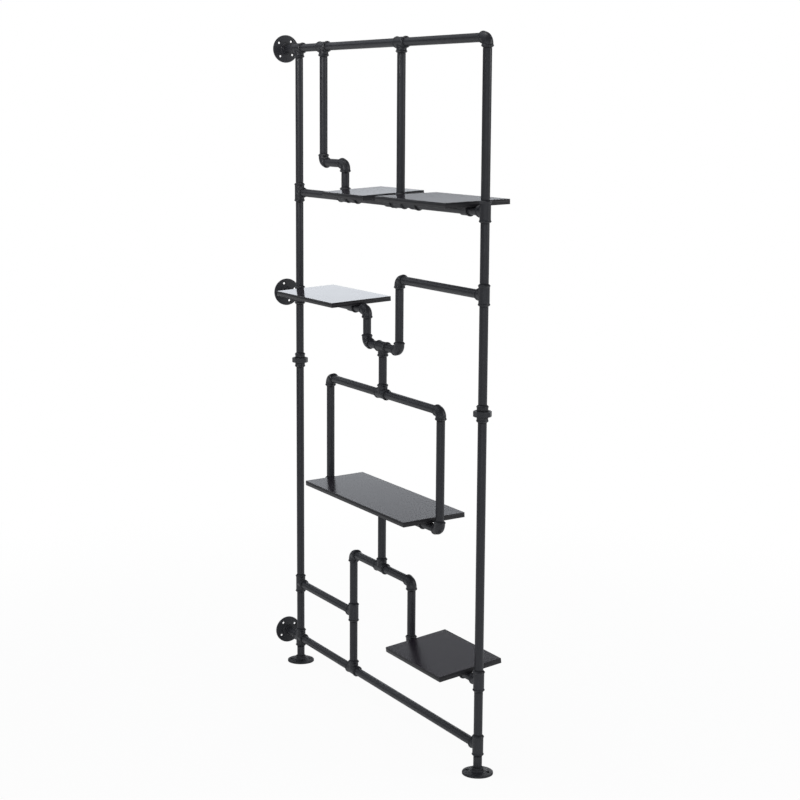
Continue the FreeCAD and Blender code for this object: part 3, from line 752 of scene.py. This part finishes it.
lamps = {
    "topLamp": {"place": (0.0, 0.0, 5.0), "aim": (0.0, 0.0, 1.1), "size": 1.5, "power": 20,
                "spread": 180},
    "rightBackLamp": {"place": (3.0, 3.6, 3.0), "aim": (0.0, 0.0, 1.1), "size": 1.5, "power": 36.4,
                      "spread": 180},
    "backLeftLamp": {"place": (-3.0, 3.2, 1.4), "aim": (0.0, 0.0, 1.1), "size": 1.5, "power": 9.2,
                     "spread": 180},
    "cornerLamp": {"place": (1.3, -4.0, 3.2), "aim": (-0.65, 0.0, 2.1), "size": 1.0, "power": 2.2,
                   "spread": 32},
}
fill = {"from": (3.0, -2.4, 3.6), "angle": 170, "strength": 1.3}


def makeFloor():
    half = studio["floor size"] / 2
    corners = [(-half, -half, 0), (half, -half, 0), (half, half, 0), (-half, half, 0)]
    floor = meshObject("studioFloor", corners, faces=[(0, 1, 2, 3)])
    material = bpy.data.materials.new("studioFloor")
    material.use_nodes = True
    tree = material.node_tree
    tree.nodes.clear()
    diffuse = addNode(tree, "ShaderNodeBsdfDiffuse", {"Color": opaque(studio["floor colour"])})
    white = addNode(tree, "ShaderNodeEmission", {"Color": (1, 1, 1, 1), "Strength": 1.0})
    place = addNode(tree, "ShaderNodeTexCoord").outputs["Object"]
    distance = calculateVector(tree, "LENGTH", place, output="Value")
    near = remap(tree, distance, *studio["shadow fade"], studio["shadow share"], 0.0, smooth=True)
    rays = addNode(tree, "ShaderNodeLightPath")
    glow = calculate(tree, "MULTIPLY", rays.outputs["Is Glossy Ray"], studio["floor glow"])
    mirrored = addNode(tree, "ShaderNodeEmission", {"Color": (1, 1, 1, 1), "Strength": glow})
    lit = addNode(tree, "ShaderNodeAddShader", {0: diffuse.outputs[0], 1: mirrored.outputs[0]})
    seen = calculate(tree, "MAXIMUM", rays.outputs["Is Camera Ray"], rays.outputs["Is Transmission Ray"])
    share = calculate(tree, "MULTIPLY", seen, calculate(tree, "SUBTRACT", 1.0, near))
    mixed = addNode(tree, "ShaderNodeMixShader", {0: share, 1: lit.outputs[0], 2: white.outputs[0]})
    addNode(tree, "ShaderNodeOutputMaterial", {"Surface": mixed.outputs[0]})
    floor.data.materials.append(material)


def panelGlow(tree, direction, height, panel):
    # soft-edged window of directions, from one elevation to another
    middle = math.radians(panel["azimuth"])
    level = calculateVector(tree, "NORMALIZE", scaleVector(tree, direction, (1, 1, 0)))
    facing = calculateVector(tree, "DOT_PRODUCT", level, (math.cos(middle), math.sin(middle), 0), "Value")
    rim = math.cos(math.radians(panel["half width"]))
    side = remap(tree, facing, rim - studio["panel side"], rim + studio["panel side"], smooth=True)
    low, high = (math.sin(math.radians(angle)) for angle in panel["elevation"])
    edge = studio["panel edge"]
    above = remap(tree, height, low - edge, low + edge, smooth=True)
    below = remap(tree, height, high + edge, high - edge, smooth=True)
    inside = calculate(tree, "MULTIPLY", calculate(tree, "MULTIPLY", above, below), side)
    return calculate(tree, "MULTIPLY", inside, panel["level"])


def makeWorld():
    world = bpy.data.worlds.new("studioWorld")
    bpy.context.scene.world = world
    world.use_nodes = True
    tree = world.node_tree
    tree.nodes.clear()
    direction = addNode(tree, "ShaderNodeTexCoord").outputs["Generated"]
    height = addNode(tree, "ShaderNodeSeparateXYZ", {0: direction}).outputs["Z"]
    total = 0.0
    for panel in panels.values():
        total = calculate(tree, "ADD", panelGlow(tree, direction, height, panel), total)
    soft = addNode(tree, "ShaderNodeBackground", {"Color": opaque(studio["panel colour"]),
                                                  "Strength": total})
    white = addNode(tree, "ShaderNodeBackground", {"Color": (1, 1, 1, 1), "Strength": 1.0})
    rays = addNode(tree, "ShaderNodeLightPath")
    seen = calculate(tree, "MAXIMUM", rays.outputs["Is Camera Ray"], rays.outputs["Is Transmission Ray"])
    # reflections show the panels with a share of the white between them
    mirrored = calculate(tree, "MULTIPLY", rays.outputs["Is Glossy Ray"], studio["mirrored white"])
    share = calculate(tree, "MAXIMUM", seen, mirrored)
    mixed = addNode(tree, "ShaderNodeMixShader", {0: share, 1: soft.outputs[0], 2: white.outputs[0]})
    addNode(tree, "ShaderNodeOutputWorld", {"Surface": mixed.outputs[0]})


def makeLamps():
    for name, lamp in lamps.items():
        data = bpy.data.lights.new(name, "AREA")
        data.size = lamp["size"]
        data.energy = lamp["power"]
        data.spread = math.radians(lamp["spread"])
        light = bpy.data.objects.new(name, data)
        bpy.context.scene.collection.objects.link(light)
        place = Vector(lamp["place"])
        light.location = place
        light.rotation_euler = (Vector(lamp["aim"]) - place).to_track_quat("-Z", "Y").to_euler()
        light.visible_camera = False
    # matt light from a wide dome, kept out of reflections
    data = bpy.data.lights.new("fill", "SUN")
    data.angle = math.radians(fill["angle"])
    data.energy = fill["strength"]
    light = bpy.data.objects.new("fill", data)
    bpy.context.scene.collection.objects.link(light)
    light.rotation_euler = (-Vector(fill["from"])).to_track_quat("-Z", "Y").to_euler()
    light.visible_glossy = False


# Camera

camera = {
    "place": (5.06275, -2.670, 2.001), "azimuth": 61.47, "elevation": 9.40, "roll": 0.36,
    "focal pixels": 1774.0, "image pixels": 800.0, "sensor": 36.0,
}


def makeCamera():
    azimuth, elevation, roll = (math.radians(camera[k]) for k in ("azimuth", "elevation", "roll"))
    forward = Vector((-math.sin(azimuth) * math.cos(elevation), math.cos(azimuth) * math.cos(elevation),
                      -math.sin(elevation)))
    level = Vector((math.cos(azimuth), math.sin(azimuth), 0.0))
    upward = level.cross(forward)
    across = math.cos(roll) * level + math.sin(roll) * upward
    top = -math.sin(roll) * level + math.cos(roll) * upward
    turned = Matrix((across, top, -forward)).transposed().to_4x4()
    data = bpy.data.cameras.new("studioCamera")
    data.sensor_width = camera["sensor"]
    data.lens = camera["focal pixels"] / camera["image pixels"] * camera["sensor"]
    data.clip_end = 300.0
    view = bpy.data.objects.new("studioCamera", data)
    bpy.context.scene.collection.objects.link(view)
    view.matrix_world = Matrix.Translation(camera["place"]) @ turned
    bpy.context.scene.camera = view


makeFloor()
makeWorld()
makeLamps()
makeCamera()
bpy.context.scene.view_settings.view_transform = "Standard"
print("studio ready")
